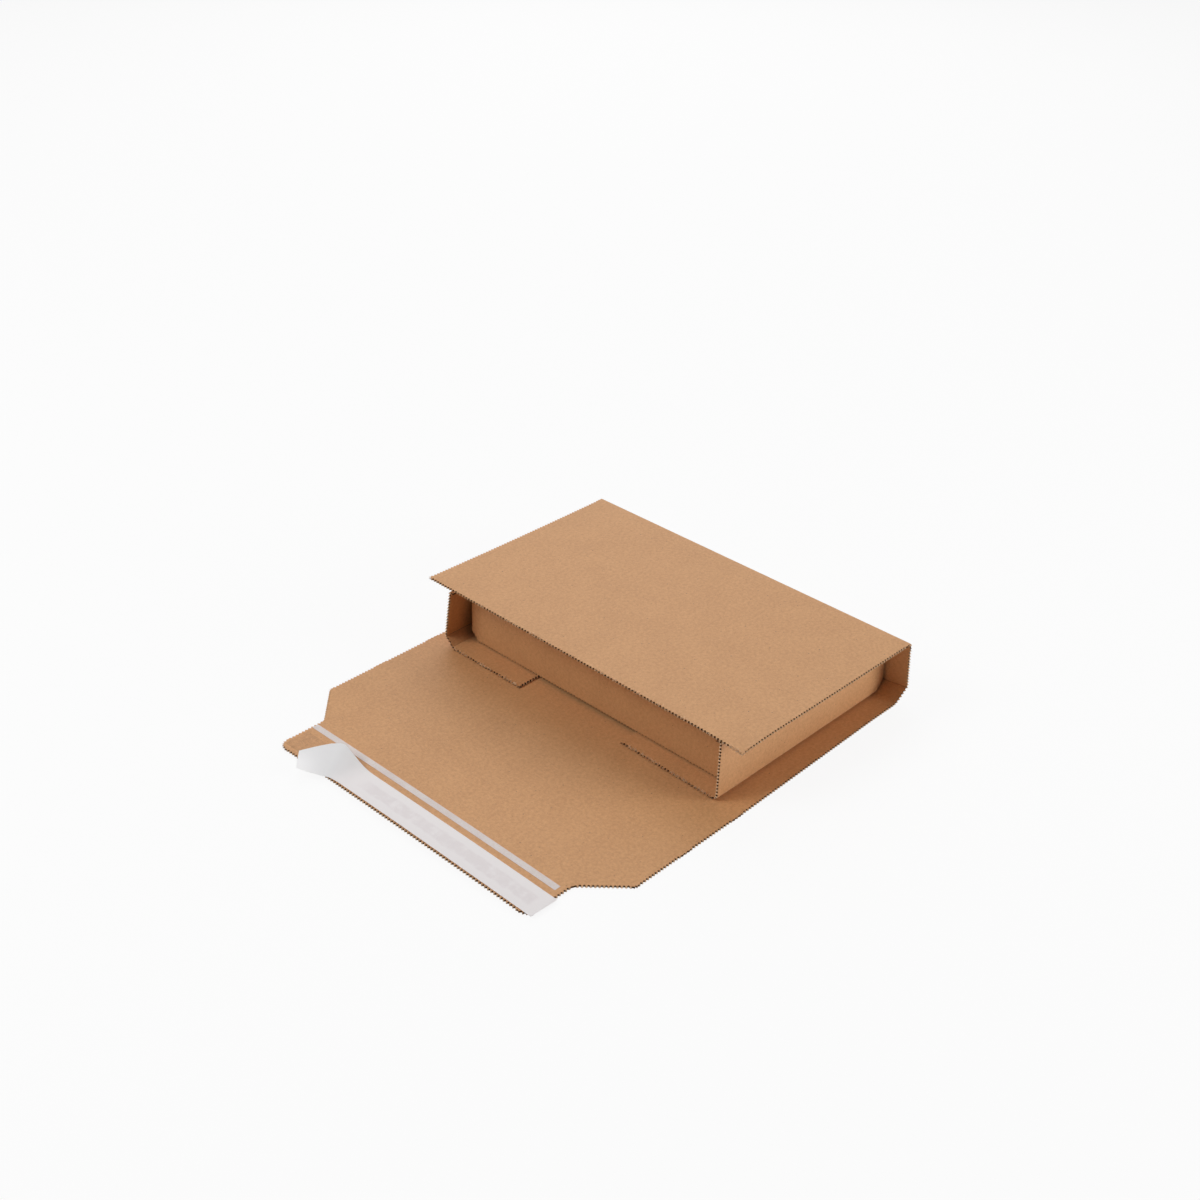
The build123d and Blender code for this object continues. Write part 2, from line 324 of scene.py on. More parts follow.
def lid_lift(place):
    """How far the lid has come away from the tray and turned there."""
    size = sizes()
    along = clamp((lid_high.y - place.y) / (lid_high.y - lid_low.y))
    left = 0.5 - place.x / (2 * sheet_high.x)
    lift = size.lid_lift_right + (size.lid_lift_left - size.lid_lift_right) * left
    corner = Vector((sheet_high.x, lid_low.y - size.lid_front))
    near = max(1 - (place.xy - corner).length / DROOP_REACH, 0)
    rise = lift * along * along - size.lid_droop * near * near
    return Vector((-size.lid_skew * along, 0, rise))


def shift(mesh, offset):
    """Move each point of a mesh by what offset gives for its place."""
    for vertex in mesh.vertices:
        vertex.co += offset(vertex.co)


class Field:
    """An output socket of a node tree that takes part in expressions."""

    def __init__(self, tree, socket):
        self.tree = tree
        self.socket = socket

    def math(self, operation, *others):
        terms = dict(enumerate((self,) + others))
        return self.tree.add("ShaderNodeMath", {"operation": operation}, terms)

    def __add__(self, other):
        return self.math("ADD", other)

    def __sub__(self, other):
        return self.math("SUBTRACT", other)

    def __mul__(self, other):
        return self.math("MULTIPLY", other)

    def __truediv__(self, other):
        return self.math("DIVIDE", other)

    def __rsub__(self, other):
        return self.tree.add("ShaderNodeMath", {"operation": "SUBTRACT"}, {0: other, 1: self})

    def __rtruediv__(self, other):
        return self.tree.add("ShaderNodeMath", {"operation": "DIVIDE"}, {0: other, 1: self})

    __radd__ = __add__
    __rmul__ = __mul__


class Tree:
    """A node tree that one method fills with nodes."""

    def __init__(self, tree):
        self.tree = tree
        self.tree.nodes.clear()

    def add(self, kind, settings=None, inputs=None, output=0):
        """Add a node: its settings first, then the values or links of its sockets."""
        node = self.tree.nodes.new(kind)
        for name, value in (settings or {}).items():
            setattr(node, name, value)
        for name, value in (inputs or {}).items():
            for term in value if isinstance(value, list) else [value]:
                if isinstance(term, Field):
                    self.tree.links.new(term.socket, node.inputs[name])
                else:
                    node.inputs[name].default_value = term
        return Field(self, node.outputs[output] if len(node.outputs) else None)

    def vector(self, operation, *terms):
        return self.add("ShaderNodeVectorMath", {"operation": operation}, dict(enumerate(terms)))

    def scale(self, vector, factor):
        return self.add(
            "ShaderNodeVectorMath", {"operation": "SCALE"}, {0: vector, "Scale": factor})

    def split(self, field):
        node = self.add("ShaderNodeSeparateXYZ", None, {0: field}).socket.node
        return [Field(self, socket) for socket in node.outputs]

    def join(self, x, y, z):
        return self.add("ShaderNodeCombineXYZ", None, {0: x, 1: y, 2: z})


class Finish(Tree):
    """The node tree of one material, on one Principled surface."""

    def __init__(self, name):
        self.material = bpy.data.materials.new(name)
        self.material.use_nodes = True
        super().__init__(self.material.node_tree)

    def place(self):
        return self.add("ShaderNodeTexCoord", output=3)

    def attribute(self, name, output=1):
        """An attribute of the mesh: output 1 gives it as a vector, and output 2 as a number."""
        return self.add("ShaderNodeAttribute", {"attribute_name": name}, output=output)

    def mix(self, factor, first, second):
        """Mix two colours, each a field or three numbers."""
        first, second = [c if isinstance(c, Field) else (*c, 1) for c in (first, second)]
        inputs = {0: factor, 6: first, 7: second}
        return self.add("ShaderNodeMix", {"data_type": "RGBA"}, inputs, output=2)

    def noise(self, place, scale, detail=3, roughness=0.5):
        inputs = {"Vector": place, "Scale": scale, "Detail": detail, "Roughness": roughness}
        return self.add("ShaderNodeTexNoise", None, inputs)

    def band(self, field, low, high):
        """0 below low, 1 above high, and smooth between."""
        settings = {"interpolation_type": "SMOOTHSTEP"}
        return self.add("ShaderNodeMapRange", settings, {0: field, 1: low, 2: high})

    def bump(self, height, strength, distance):
        return self.add("ShaderNodeBump", None,
                        {"Height": height, "Strength": strength, "Distance": distance})

    def surface(self, **sockets):
        """Finish the material: Base_Color stands for the socket Base Color, and so on."""
        inputs = {name.replace("_", " "): value for name, value in sockets.items()}
        shader = self.add("ShaderNodeBsdfPrincipled", None, inputs)
        self.add("ShaderNodeOutputMaterial", None, {"Surface": shader})
        return self.material


class GeometryTree(Tree):
    """A geometry node group with named inputs, for a modifier."""

    def __init__(self, name, **inputs):
        self.group = bpy.data.node_groups.new(name, "GeometryNodeTree")
        super().__init__(self.group)
        sockets = self.group.interface
        sockets.new_socket("Geometry", in_out="INPUT", socket_type="NodeSocketGeometry")
        sockets.new_socket("Geometry", in_out="OUTPUT", socket_type="NodeSocketGeometry")
        for label, kind in inputs.items():
            sockets.new_socket(label, in_out="INPUT", socket_type="NodeSocket" + kind)
        entry = self.add("NodeGroupInput").socket.node
        self.geometry = Field(self, entry.outputs[0])
        self.inputs = {label: Field(self, entry.outputs[label]) for label in inputs}

    def read(self, name):
        """A vector attribute of the geometry."""
        return self.add(
            "GeometryNodeInputNamedAttribute", {"data_type": "FLOAT_VECTOR"}, {"Name": name})

    def shape_of(self, thing):
        """The geometry of another object."""
        return self.add("GeometryNodeObjectInfo", {"transform_space": "ORIGINAL"},
                        {"Object": thing}, output=4)

    def put(self, geometry, position):
        inputs = {"Geometry": geometry, "Position": position}
        return self.add("GeometryNodeSetPosition", None, inputs)

    def shift(self, geometry, offset):
        inputs = {"Geometry": geometry, "Offset": offset}
        return self.add("GeometryNodeSetPosition", None, inputs)

    def thicken(self, sheet, rise):
        """A closed slab from a flat sheet that looks up."""
        lift = self.join(0, 0, rise)
        inputs = {"Mesh": sheet, "Offset": lift, "Offset Scale": 1.0, "Individual": False}
        top = self.add("GeometryNodeExtrudeMesh", {"mode": "FACES"}, inputs)
        bottom = self.add("GeometryNodeFlipFaces", None, {0: sheet})
        both = self.add("GeometryNodeJoinGeometry", None, {0: [top, bottom]})
        inputs = {"Geometry": both, "Distance": SEAM}
        return self.add("GeometryNodeMergeByDistance", None, inputs)

    def move(self, geometry, offset):
        inputs = {"Geometry": geometry, "Translation": offset}
        return self.add("GeometryNodeTransform", None, inputs)

    def paint(self, geometry, material, where=True):
        inputs = {"Geometry": geometry, "Material": material, "Selection": where}
        return self.add("GeometryNodeSetMaterial", None, inputs)

    def finish(self, geometry):
        """End the tree, with no instances left in it."""
        real = self.add("GeometryNodeRealizeInstances", None, {0: geometry})
        self.add("NodeGroupOutput", None, {0: real})
        return self.group


def run_tree(mesh, group, **values):
    """Run a geometry tree on a mesh and return its result as a plain mesh."""
    carrier = bpy.data.objects.new("carrier", mesh)
    bpy.context.scene.collection.objects.link(carrier)
    modifier = carrier.modifiers.new("tree", "NODES")
    modifier.node_group = group
    for item in group.interface.items_tree:
        if item.in_out == "INPUT" and item.name in values:
            modifier[item.identifier] = values[item.name]
    graph = bpy.context.evaluated_depsgraph_get()
    result = bpy.data.meshes.new_from_object(carrier.evaluated_get(graph), depsgraph=graph)
    if result.materials and result.materials[0] is None:
        used = [face.material_index - 1 for face in result.polygons]
        result.materials.pop(index=0)
        result.polygons.foreach_set("material_index", used)
    carrier.modifiers.remove(modifier)
    bpy.data.objects.remove(carrier)
    return result


def knife_cut_tree(name):
    """Loose edges of an outline, each cut into teeth if it has an inward vector, and filled.

    The cuts at both ends of an edge are shallow, so that those of two edges never cross.
    """
    tree = GeometryTree(name, Pitch="Float", Depth="Float")
    inward = tree.read("inward")
    toothed = tree.add("ShaderNodeVectorMath", {"operation": "LENGTH"}, {0: inward}, output=1)
    edges = tree.add("GeometryNodeMeshToCurve", None, {"Mesh": tree.geometry})
    run = tree.add("GeometryNodeSplineLength")
    teeth = (run / tree.inputs["Pitch"]).math("ROUND").math("MAXIMUM", 1.0)
    count = toothed.math("ROUND") * (teeth * 2 - 1) + 2
    edges = tree.add(
        "GeometryNodeResampleCurve", {"mode": "COUNT"}, {"Curve": edges, "Count": count})
    index = tree.add("GeometryNodeSplineParameter", output=2)
    valley = index.math("MODULO", 2.0)
    end = index.math("MINIMUM", count - 1 - index).math("LESS_THAN", 1.5)
    shallow = end * teeth.math("GREATER_THAN", 1.5) * (1 - END_CUT)
    depth = valley * (1 - shallow) * tree.inputs["Depth"]
    edges = tree.shift(edges, tree.scale(inward, depth))
    wires = tree.add("GeometryNodeCurveToMesh", None, {"Curve": edges})
    wires = tree.add("GeometryNodeMergeByDistance", None, {"Geometry": wires, "Distance": WELD})
    loop = tree.add("GeometryNodeMeshToCurve", None, {"Mesh": wires})
    filled = tree.add("GeometryNodeFillCurve", {"mode": "TRIANGLES"}, {"Curve": loop})
    return tree.finish(filled)


def corrugated_board_tree(name):
    """Two facings with fluted paper between them, from a flat sheet, folded along a path.

    The sheet lies in XY: X is the distance along the path, and the flutes run along Y.
    """
    tree = GeometryTree(
        name, Board="Float", Facing="Float", Medium="Float", Flute="Float",
        Inset="Float", Inside="Float", Spans="Int", Pitch="Float", Depth="Float",
        Path="Object", Tips="Object", Axis="Vector",
        Kraft="Material", Fluted="Material", Torn="Material")
    board, facing = tree.inputs["Board"], tree.inputs["Facing"]
    medium, flute = tree.inputs["Medium"], tree.inputs["Flute"]
    outer = tree.thicken(tree.geometry, facing)
    inner = tree.move(outer, tree.join(0, 0, board - facing))

    corners = tree.add("GeometryNodeBoundBox", None, {0: tree.geometry}).socket.node
    low = tree.split(Field(tree, corners.outputs["Min"]))[0]
    high = tree.split(Field(tree, corners.outputs["Max"]))[0]
    steps = ((high - low) / flute * FLUTE_STEPS).math("CEIL") + 1
    strip = {"Size X": high - low - tree.inputs["Inset"] * 2, "Size Y": 1.0,
             "Vertices X": steps, "Vertices Y": tree.inputs["Spans"] + 1}
    strip = tree.add("GeometryNodeMeshGrid", None, strip)
    strip = tree.move(strip, tree.join((low + high) * 0.5, 0, 0))
    x, y, _ = tree.split(tree.add("GeometryNodeInputPosition"))
    side = y.math("SIGN")
    edge = tree.add("GeometryNodeRaycast", None, {
        "Target Geometry": outer,
        "Source Position": tree.join(x, tree.inputs["Inside"], facing * 0.5),
        "Ray Direction": tree.join(0, side, 0), "Ray Length": 1.0}, output=1)
    swing = (board - facing * 2 - medium) * FLUTE_SWING
    wave = board * 0.5 - medium * 0.5 + (x / flute * (2 * pi)).math("SINE") * swing
    width = tree.split(edge)[1] - side * tree.inputs["Inset"] - tree.inputs["Inside"]
    width = tree.inputs["Inside"] + width * y.math("ABSOLUTE") * 2
    strip = tree.thicken(tree.put(strip, tree.join(x, width, wave)), medium)

    looks_up = tree.split(tree.add("GeometryNodeInputNormal"))[2]
    plies = []
    # Faces that look into the board get the fluted paper's dark finish, painted shade for the
    # hollows
    for ply, outside in ((outer, looks_up * -1), (inner, looks_up)):
        ply = tree.paint(ply, tree.inputs["Fluted"])
        plies.append(tree.paint(ply, tree.inputs["Kraft"], outside.math("GREATER_THAN", -0.5)))
    plies.append(tree.paint(strip, tree.inputs["Fluted"]))

    inward = tree.read("inward")
    half_depth, half_width = tree.inputs["Depth"] * TIP_DEPTH, tree.inputs["Pitch"] * TIP_WIDTH
    back = tree.scale(inward, half_depth + TIP_BACK)
    tips = tree.shift(tree.shape_of(tree.inputs["Tips"]),
                      tree.vector("ADD", back, tree.join(0, 0, board * 0.5)))
    wedge = tree.add("GeometryNodeMeshCylinder", {"fill_type": "NGON"},
                     {"Vertices": 3, "Radius": 1.0, "Depth": 1.0})
    turned = tree.add("FunctionNodeAlignRotationToVector", {"axis": "X", "pivot_axis": "Z"},
                      {"Vector": tree.vector("MULTIPLY", inward, (-1, -1, -1))})
    wedges = tree.add("GeometryNodeInstanceOnPoints", None, {
        "Points": tree.add("GeometryNodeMeshToPoints", None, {"Mesh": tips}), "Instance": wedge,
        "Rotation": turned, "Scale": tree.join(half_depth, half_width, board - facing * 2)})
    wedges = tree.add("GeometryNodeRealizeInstances", None, {0: wedges})
    plies.append(tree.paint(wedges, tree.inputs["Torn"]))
    plies = tree.add("GeometryNodeJoinGeometry", None, {0: plies})
    spot = tree.add("GeometryNodeInputPosition")
    plies = tree.add("GeometryNodeStoreNamedAttribute", {"data_type": "FLOAT_VECTOR"},
                     {"Geometry": plies, "Name": "sheet", "Value": spot})
    x, y, z = tree.split(spot)
    sample = tree.add("GeometryNodeSampleCurve", {"mode": "LENGTH"},
                      {"Curves": tree.shape_of(tree.inputs["Path"]), "Length": x}).socket.node
    line, tangent = [Field(tree, sample.outputs[name]) for name in ("Position", "Tangent")]
    up = tree.vector("NORMALIZE", tree.vector("CROSS_PRODUCT", tangent, tree.inputs["Axis"]))
    place = tree.vector("ADD", line, tree.scale(up, z))
    place = tree.vector("ADD", place, tree.scale(tree.inputs["Axis"], y))
    return tree.finish(tree.put(plies, place))


def rounded(before, corner, after, radius, count):
    """Where the rounding of a corner starts, the ways in and out, and the points along it.

    count gives the number of steps for an angle.
    """
    arrive = (corner - before).normalized()
    leave = (after - corner).normalized()
    turn = atan2(arrive.x * leave.y - arrive.y * leave.x, arrive.dot(leave))
    start = corner - arrive * radius * tan(abs(turn) / 2)
    side = 1 if turn > 0 else -1
    centre = start + Vector((-arrive.y, arrive.x)) * radius * side
    steps = count(abs(turn))
    arc = [centre + Matrix.Rotation(turn * step / steps, 2) @ (start - centre)
           for step in range(steps + 1)]
    return start, arrive, leave, arc


class FoldPath:
    """The line that one face of a board follows, in its plane, with rounded folds."""

    def __init__(self, name, corners, radii, place):
        corners = [Vector(corner) for corner in corners]
        points = [corners[0]]
        bends = []
        for before, corner, after, radius in zip(corners, corners[1:], corners[2:], radii):
            start, arrive, leave, arc = rounded(
                before, corner, after, radius, lambda turn: max(2, ceil(turn / BEND_STEP)))
            points.append(start - arrive * NEAR_BEND)
            bends.append((len(points), len(points) + len(arc) - 1))
            points += arc
            points.append(points[-1] + leave * NEAR_BEND)
        points.append(corners[-1])
        places = [0.0]
        for last, point in zip(points, points[1:]):
            places.append(places[-1] + (point - last).length)
        self.bends = [(places[first], places[last]) for first, last in bends]
        self.length = places[-1]
        self.folds = [a for first, last in bends for a in places[first:last + 1]]
        curve = bpy.data.curves.new(name, "CURVE")
        curve.dimensions = "3D"
        spline = curve.splines.new("POLY")
        spline.points.add(len(points) - 1)
        for knot, point in zip(spline.points, points):
            knot.co = (*place(point), 1)
        self.curve = bpy.data.objects.new(name, curve)


def outline_edges(corners):
    """Edges of a flat outline, anticlockwise, from corners (x, y, radius, cut).

    cut says whether the edge that starts at the corner, and its rounding, gets teeth.
    """
    places = [Vector(corner[:2]) for corner in corners]
    points = []
    for index, (_, _, radius, cut) in enumerate(corners):
        before, corner, after = places[index - 1], places[index], places[index + 1 - len(places)]
        arc = [corner]
        if radius:
            arc = rounded(before, corner, after, radius, lambda turn: max(
                1, round(turn * radius / sizes().tooth_pitch)))[-1]
        points += [(point, cut) for point in arc]
    return [(start, end, cut) for (start, cut), (end, _) in zip(points, points[1:] + points[:1])]


def tooth_tips(corners):
    """Points at the tips of the teeth of an outline, each with the vector that leads inwards."""
    points, inward = [], []
    for start, end, cut in outline_edges(corners):
        teeth = round((end - start).length / sizes().tooth_pitch) if cut else 0
        along = (end - start).normalized()
        for tooth in range(1, teeth):
            points.append((*start.lerp(end, tooth / teeth), 0))
            inward += [-along.y, along.x, 0.0]
    mesh = bpy.data.meshes.new("tooth_tips")
    mesh.from_pydata(points, [], [])
    mesh.attributes.new("inward", "FLOAT_VECTOR", "POINT").data.foreach_set("vector", inward)
    return bpy.data.objects.new("tooth_tips", mesh)


def shared(collection, name, make):
    """What several operators use, made the first time that one of them asks for it."""
    return collection.get(name) or make(name)


def flat_sheet(corners, folds, lengthwise):
    """The toothed outline, filled, and cut where the path bends or the board bows."""
    wires = bpy.data.meshes.new("outline")
    points, inward = [], []
    for start, end, cut in outline_edges(corners):
        along = (end - start).normalized()
        points += [(*start, 0), (*end, 0)]
        inward += [-along.y * cut, along.x * cut, 0.0] * 2
    edges = [(index, index + 1) for index in range(0, len(points), 2)]
    wires.from_pydata(points, edges, [])
    attribute = wires.attributes.new("inward", "FLOAT_VECTOR", "POINT")
    attribute.data.foreach_set("vector", inward)
    knife = shared(bpy.data.node_groups, "knife_cut", knife_cut_tree)
    sheet = run_tree(wires, knife, Pitch=sizes().tooth_pitch, Depth=sizes().tooth_depth)
    builder = bmesh.new()
    builder.from_mesh(sheet)
    cuts = [((fold, 0, 0), (1, 0, 0)) for fold in folds]
    cuts += [((0, place, 0), (0, 1, 0)) for place in lengthwise]
    for place, across in cuts:
        everything = builder.verts[:] + builder.edges[:] + builder.faces[:]
        bmesh.ops.bisect_plane(
            builder, geom=everything, plane_co=place, plane_no=across, dist=WELD)
    bmesh.ops.triangulate(builder, faces=builder.faces[:])
    for face in builder.faces:
        face.normal_update()
        if face.normal.z < 0:
            face.normal_flip()
    builder.to_mesh(sheet)
    builder.free()
    return sheet


def board(name, path, corners, axis, inside=0.0, folds=(), offset=None):
    """One board: its outline in the flat, folded along its path. axis is where the flutes point.

    A board with an offset is cut into spans both ways, and bowed by it. inside is a place along
    the flutes from which all of them reach the outline.
    """
    low = min(corner[0] for corner in corners)
    high = max(corner[0] for corner in corners)
    folds = [fold for fold in (*path.folds, *folds) if low + CUT_ROOM < fold < high - CUT_ROOM]
    spans = BOW_SPANS if offset else 1
    steps = [step / spans for step in range(1, spans)]
    folds += [low + (high - low) * step for step in steps]
    ends = [corner[1] for corner in corners]
    lengthwise = [min(ends) + (max(ends) - min(ends)) * step for step in steps]
    size = sizes()
    mesh = run_tree(
        flat_sheet(corners, folds, lengthwise),
        shared(bpy.data.node_groups, "corrugated_board", corrugated_board_tree),
        Board=size.board, Facing=size.facing, Medium=size.medium, Flute=size.flute_pitch,
        Inset=INSET, Inside=inside, Spans=spans, Pitch=size.tooth_pitch, Depth=size.tooth_depth,
        Tips=tooth_tips(corners), Path=path.curve, Axis=axis,
        Kraft=shared(bpy.data.materials, "kraft_paper", kraft_finish),
        Fluted=shared(bpy.data.materials, "fluted_paper", fluted_shade_finish),
        Torn=shared(bpy.data.materials, "torn_paper", fibre_finish))
    mark_creases(mesh, path.bends)
    if offset:
        shift(mesh, offset)
    return piece(name, mesh)


def mark_creases(mesh, bends):
    """Say of each point whether it lies in a sharp fold, for the rubbed look of the folds and the
    painted shade inside them.
    """
    sharp = [(low + WELD, high - WELD) for low, high in bends if high - low < SHARP_BEND]
    sheet = mesh.attributes["sheet"].data
    inside = [float(any(low < spot.vector.x < high for low, high in sharp)) for spot in sheet]
    mesh.attributes.new("crease", "FLOAT", "POINT").data.foreach_set("value", inside)


def piece(name, mesh, smooth_angle=35):
    """A finished object from a mesh that is already in its place."""
    mesh.name = name
    mesh.polygons.foreach_set("use_smooth", [True] * len(mesh.polygons))
    mesh.set_sharp_from_angle(angle=radians(smooth_angle))
    part = bpy.data.objects.new(name, mesh)
    bpy.context.scene.collection.objects.link(part)
    return part


def paper_place(finish):
    """Places on the unfolded board: across the flutes, along them, and through the board."""
    return finish.vector("MULTIPLY", finish.attribute("sheet"), (1.0, 1.0, THROUGH))


def shade(colour, *parts):
    """A colour with its red, green and blue multiplied by these parts."""
    return tuple(c * k for c, k in zip(colour, parts))


def kraft_finish(name):
    """Natural kraft paper: soft clouding, long fibres, light and dark flecks, rubbed creases, and
    painted shade on the inner side of sharp folds.
    """
    finish = Finish(name)
    place = paper_place(finish)
    dark = shade(colours().kraft, 0.84, 0.80, 0.76)
    light = shade(colours().kraft, 1.10, 1.12, 1.16)
    clouds = finish.noise(place, 38.0, 4, 0.6)
    mottle = finish.noise(place, 420.0, 3, 0.65)
    fibres = finish.noise(finish.vector("MULTIPLY", place, (1.0, 0.35, 1.0)), 1900.0, 2, 0.6)
    flecks = finish.noise(place, 1150.0, 2, 0.5)
    specks = finish.noise(place, 520.0, 1, 0.4)
    tone = 0.5 + (clouds - 0.5) * 0.3 + (mottle - 0.5) * 0.8 + (fibres - 0.5) * 0.55
    colour = finish.mix(finish.band(tone, 0.15, 0.85), dark, light)
    colour = finish.mix(finish.band(flecks, 0.66, 0.74) * 0.4, colour, DARK_FLECK)
    colour = finish.mix(finish.band(specks, 0.74, 0.78) * 0.55, colour, DARK_SPECK)
    colour = finish.mix(finish.band(flecks, 0.36, 0.28) * 0.3, colour, PALE_FLECK)
    crease = finish.attribute("crease", 2)
    along, _, through = finish.split(place)
    inside = finish.band(through, 0.4 * sizes().board * THROUGH, 0.6 * sizes().board * THROUGH)
    # Painted shade darkens the inner side of sharp folds; their outer side gets rubbed wear
    colour = finish.mix(crease * inside * 0.5, colour, PAINTED_CREASE_SHADE)
    rubbed = crease * (1 - inside) * finish.band(mottle, 0.3, 0.7)
    colour = finish.mix(rubbed * 0.4, colour, RUBBED_CREASE)
    washboard = (along / sizes().flute_pitch * (2 * pi)).math("SINE")
    height = fibres * 0.6 + mottle * 0.4 + washboard * 0.12
    return finish.surface(
        Base_Color=colour,
        Roughness=0.64 - (mottle - 0.5) * 0.2,
        Normal=finish.bump(height, 0.25, 0.0002),
        Specular_IOR_Level=0.75)


def fluted_shade_finish(name):
    """The fluted paper and the cut edges: much darker than the facings, partly the paper's own
    darker brown and partly painted shade for the hollows of the cut edges, except where they are
    torn.
    """
    finish = Finish(name)
    place = paper_place(finish)
    flute = tuple(colours().flute)
    light = shade(flute, 1.5, 1.5, 1.5)
    frayed = shade(colours().fibre, 0.8, 0.8, 0.8)
    grain = finish.noise(place, 700.0, 3, 0.6)
    # Dark fluted colour: painted shade of the hollows, lighter where torn or crushed
    colour = finish.mix(finish.band(grain, 0.3, 0.7), flute, light)
    torn = finish.band(finish.noise(place, 95.0, 2, 0.5), 0.61, 0.68) * 0.6
    along, across, _ = finish.split(place)
    start, side = CRUSHED_CORNER
    crushed = finish.band(along, start, start + CRUSHED_EDGE)
    crushed = crushed * finish.band(across, side, side - CRUSHED_EDGE)
    return finish.surface(
        Base_Color=finish.mix(torn.math("MAXIMUM", crushed), colour, frayed),
        Roughness=0.92,
        Normal=finish.bump(grain, 0.3, 0.0002),
        Specular_IOR_Level=0.2)


def tear_tape_finish(name):
    """Milky film with threads in it, through which a little of the kraft shows."""
    finish = Finish(name)
    place = finish.place()
    haze = finish.noise(place, 900.0, 2, 0.6)
    cloud = finish.noise(place, 60.0, 3, 0.5)
    tape = tuple(colours().tape)
    warm = shade(tape, 0.93, 0.86, 0.83)
    return finish.surface(
        Base_Color=finish.mix(finish.band(haze * 0.7 + cloud * 0.3, 0.3, 0.7), warm, tape),
        Roughness=0.36 + (haze - 0.5) * 0.3,
        Alpha=0.9 + (cloud - 0.5) * 0.15,
        Normal=finish.bump(haze, 0.15, 0.0001))


def adhesive_finish(name):
    """Clear adhesive: a little darker and glossier than the board below, with faint streaks."""
    finish = Finish(name)
    place = finish.place()
    streaks = finish.noise(finish.vector("MULTIPLY", place, (0.12, 1.0, 1.0)), 900.0, 3, 0.6)
    blobs = finish.noise(place, 260.0, 3, 0.6)
    return finish.surface(
        Base_Color=(*colours().glue, 1),
        Roughness=0.3 + (blobs - 0.5) * 0.3,
        Alpha=0.04 + finish.band(blobs, 0.45, 0.75) * 0.06,
        Normal=finish.bump(streaks, 0.3, 0.0001))


def release_finish(name):
    """White release paper. Where it still lies on the adhesive, a greyer band shows through. Its
    peeled end has painted light that makes it whiter.
    """
    finish = Finish(name)
    strip = finish.attribute("strip")
    along, across, _ = finish.split(strip)
    spot = finish.vector("MULTIPLY", strip, (1.0, 0.02, 0.0))
    ragged = (finish.noise(spot, 90.0, 3, 0.6) - 0.5) * 0.22
    blotches = finish.noise(spot, 160.0, 4, 0.6)
    fibres = finish.noise(spot, 1500.0, 2, 0.6)
    first, last = [finish.band(across + ragged, *edge) for edge in STUCK_ACROSS]
    left, right = [finish.band(along, *end) for end in STUCK_ALONG]
    stuck = first * last * left * right
    release = tuple(colours().release)
    grey = shade(release, 0.9, 0.88, 0.885)
    colour = finish.mix(stuck * finish.band(blotches, 0.25, 0.6), release, grey)
    colour = finish.mix(finish.band(fibres, 0.35, 0.75) * 0.12, colour, LINER_FIBRE)
    # Painted light makes the peeled end whiter
    colour = finish.mix(finish.band(along, *PEELED_LIGHT_ALONG), colour, PEELED_PAINTED_LIGHT)
    return finish.surface(
        Base_Color=colour,
        Roughness=0.5 - stuck * 0.12 + (fibres - 0.5) * 0.1,
        Normal=finish.bump(fibres * 0.4 + blotches * stuck, 0.15, 0.0002))


def fibre_finish(name):
    """Pale torn paper fibres."""
    finish = Finish(name)
    place = finish.place()
    tone = finish.noise(place, 500.0, 2, 0.5)
    fibre = tuple(colours().fibre)
    colour = finish.mix(finish.band(tone, 0.35, 0.65), shade(fibre, 0.85, 0.85, 0.85), fibre)
    return finish.surface(Base_Color=colour, Roughness=0.9)


def stage_material(name):
    """White paper that the camera sees as white, with part of the object's shadow left on it."""
    finish = Finish(name)
    ray = finish.add("ShaderNodeLightPath").socket.node
    camera, glossy, transmission = [
        Field(finish, ray.outputs[f"Is {kind} Ray"])
        for kind in ("Camera", "Glossy", "Transmission")]
    seen = (camera + glossy + transmission).math("MINIMUM", 1.0)
    paper = finish.add("ShaderNodeBsdfDiffuse", None, {"Color": FLOOR_PAPER})
    white = finish.add("ShaderNodeEmission", None, {"Color": WHITE})
    floor = finish.add("ShaderNodeMixShader", None,
                       {0: seen * (1 - SHADOW_KEPT), 1: paper, 2: white})
    finish.add("ShaderNodeOutputMaterial", None, {"Surface": floor})
    return finish.material


